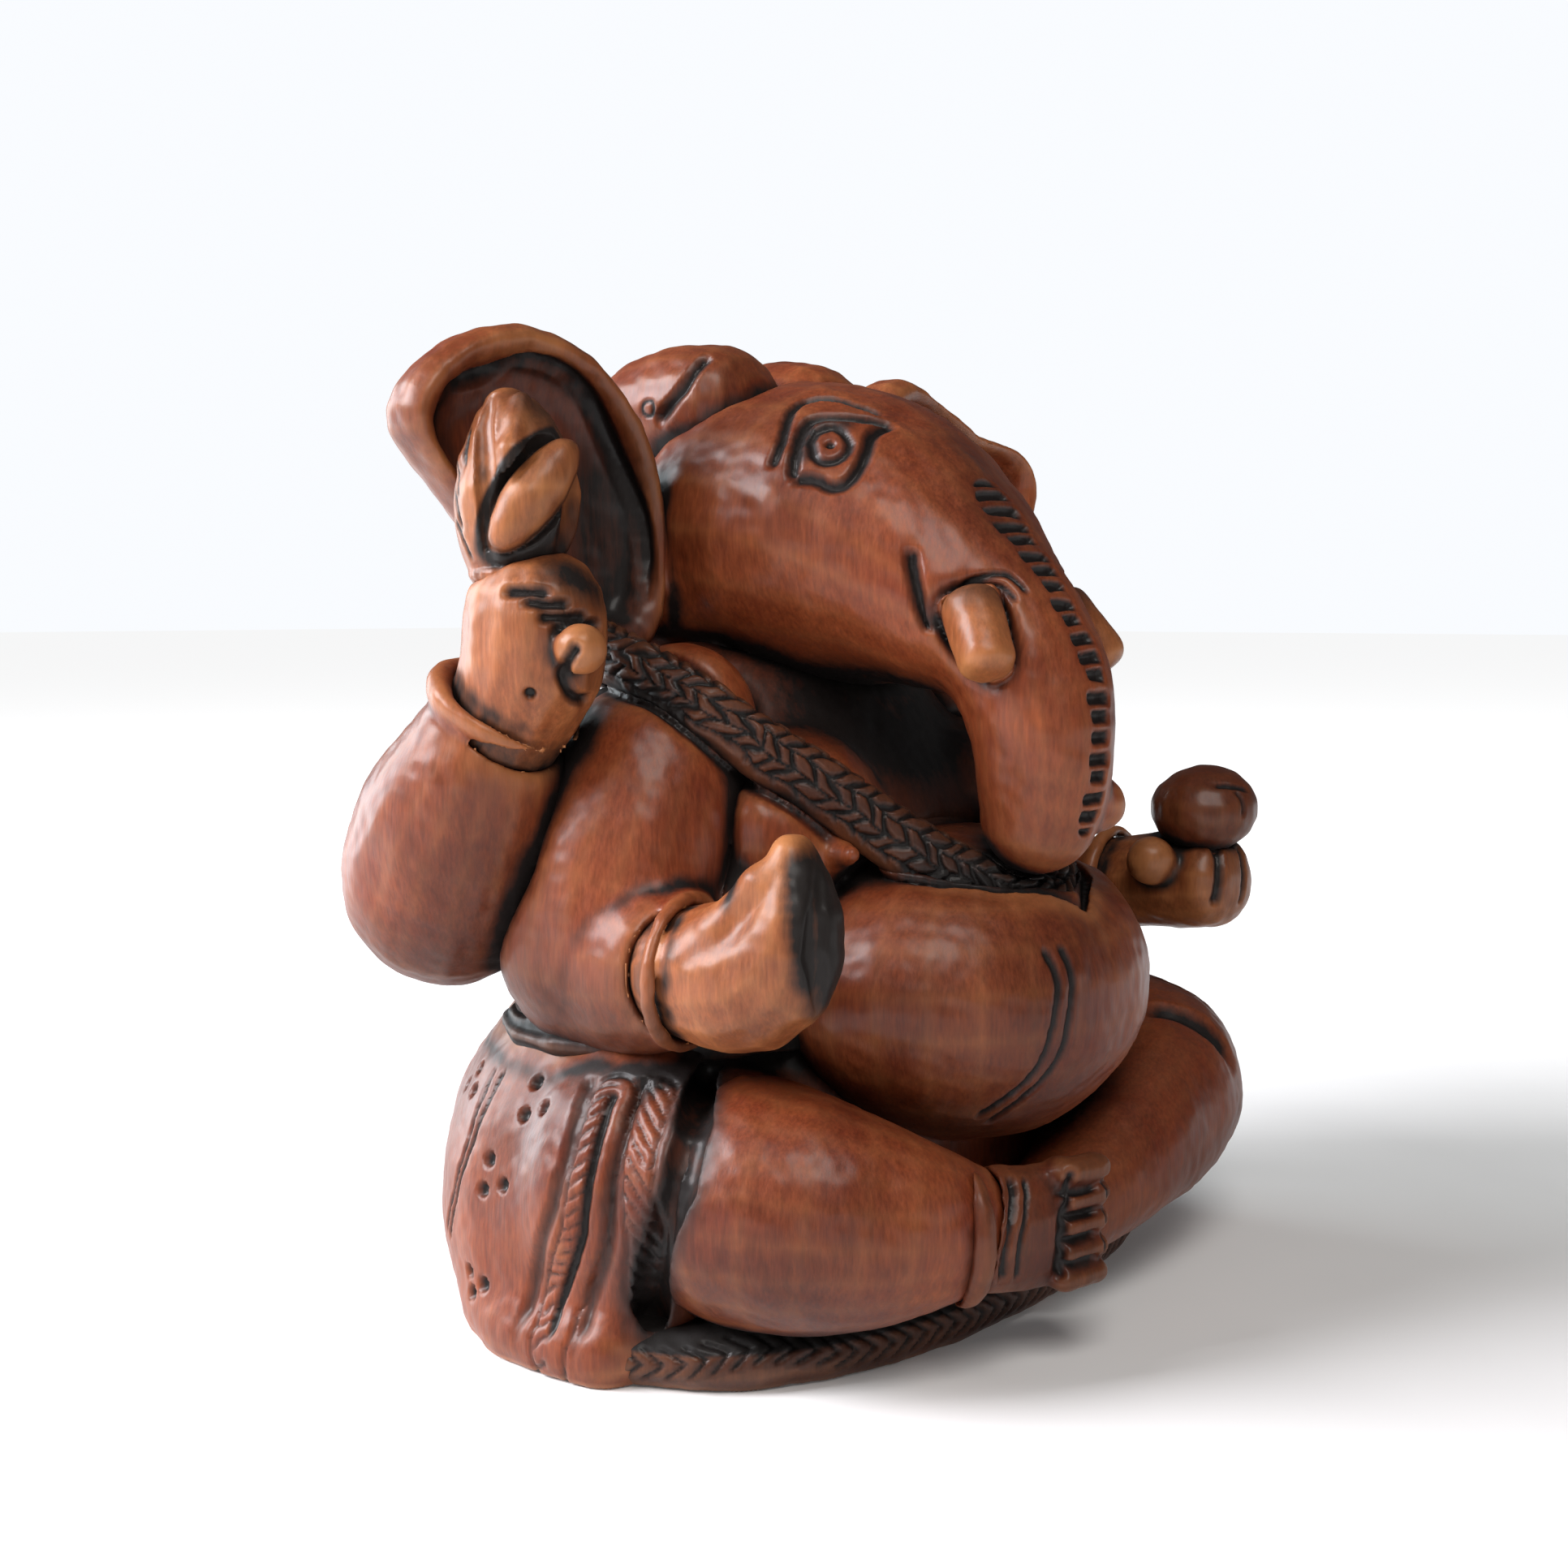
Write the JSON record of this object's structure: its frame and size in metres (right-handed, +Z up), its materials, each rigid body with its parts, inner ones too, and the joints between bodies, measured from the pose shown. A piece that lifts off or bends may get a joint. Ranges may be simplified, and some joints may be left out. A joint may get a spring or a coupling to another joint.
{
  "type": "carved wooden elephant figurine",
  "caption": "Seated elephant-headed figure with raised ears, curled trunk, folded legs, raised hands and a round belly on a low plinth, carved in varnished reddish-brown wood.",
  "frame": {"origin": "middle of the figure's own outline, seen from above, at the flat base", "axes": "+Z up, the figure faces -Y, its own left side is +X"},
  "size_m": [0.1054, 0.0772, 0.1085],
  "materials": {
    "polished_wood": "dark reddish-brown stain under satin varnish",
    "amber_wood": "worn, lighter amber-brown wood under satin varnish",
    "stained_wood": "near-black brown stain held in the carving"
  },
  "bodies": {
    "root": {"plinth": "stained_wood", "hip_wrap": "polished_wood", "right_leg": "polished_wood", "right_foot": "polished_wood", "left_leg": "polished_wood", "waist_cord": "stained_wood", "torso": "polished_wood", "belly": "polished_wood", "garland": "stained_wood", "lower_right_arm": "polished_wood", "lower_right_hand": "amber_wood", "upper_right_arm": "polished_wood", "upper_right_hand": "amber_wood", "right_bud": "amber_wood", "lower_left_arm": "polished_wood", "lower_left_hand": "amber_wood", "sweet_ball": "polished_wood", "upper_left_arm": "polished_wood", "upper_left_hand": "amber_wood", "left_bud": "amber_wood", "head": "polished_wood", "crown": "polished_wood", "right_ear": "polished_wood", "left_ear": "polished_wood", "right_tusk": "amber_wood", "left_tusk": "amber_wood"}
  },
  "joints": []
}
